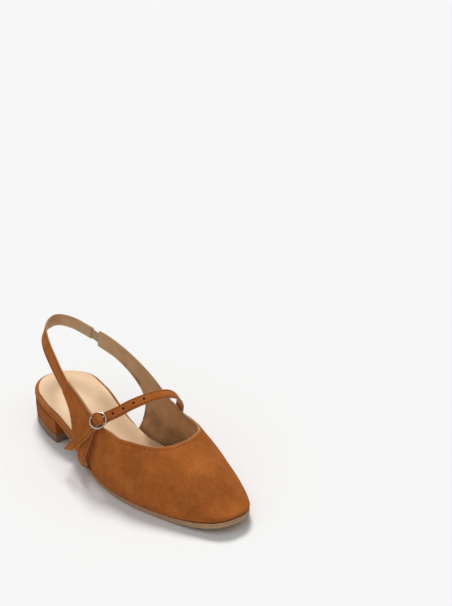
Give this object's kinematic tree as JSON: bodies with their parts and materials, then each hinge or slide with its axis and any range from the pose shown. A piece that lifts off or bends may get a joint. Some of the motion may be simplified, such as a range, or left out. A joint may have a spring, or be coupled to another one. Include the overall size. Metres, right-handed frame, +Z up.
{
  "type": "slingback pump",
  "caption": "Low-heeled suede slingback pump with a covered block heel, a rounded square toe and a buckled strap over the instep.",
  "frame": {"origin": "middle of the underside of the heel's top lift, on the floor", "axes": "+X to the toe, +Y to the inner side of the foot, +Z up from the floor"},
  "size_m": [0.2569, 0.0885, 0.0728],
  "materials": {
    "suede": "brushed suede, matte",
    "sole": "smooth sole edge, satin",
    "lift": "matte",
    "sock": "smooth, satin",
    "elastic": "ribbed weave",
    "metal": "polished"
  },
  "bodies": {
    "root": {"outsole": "sole", "heel_block": "suede", "top_lift": "lift", "insole_board": "suede", "sock": "sock", "upper": "suede", "sling_strap": "suede", "elastic": "elastic", "instep_strap": "suede", "buckle_strap": "suede", "buckle_ring": "metal", "buckle_prong": "metal"}
  },
  "joints": []
}
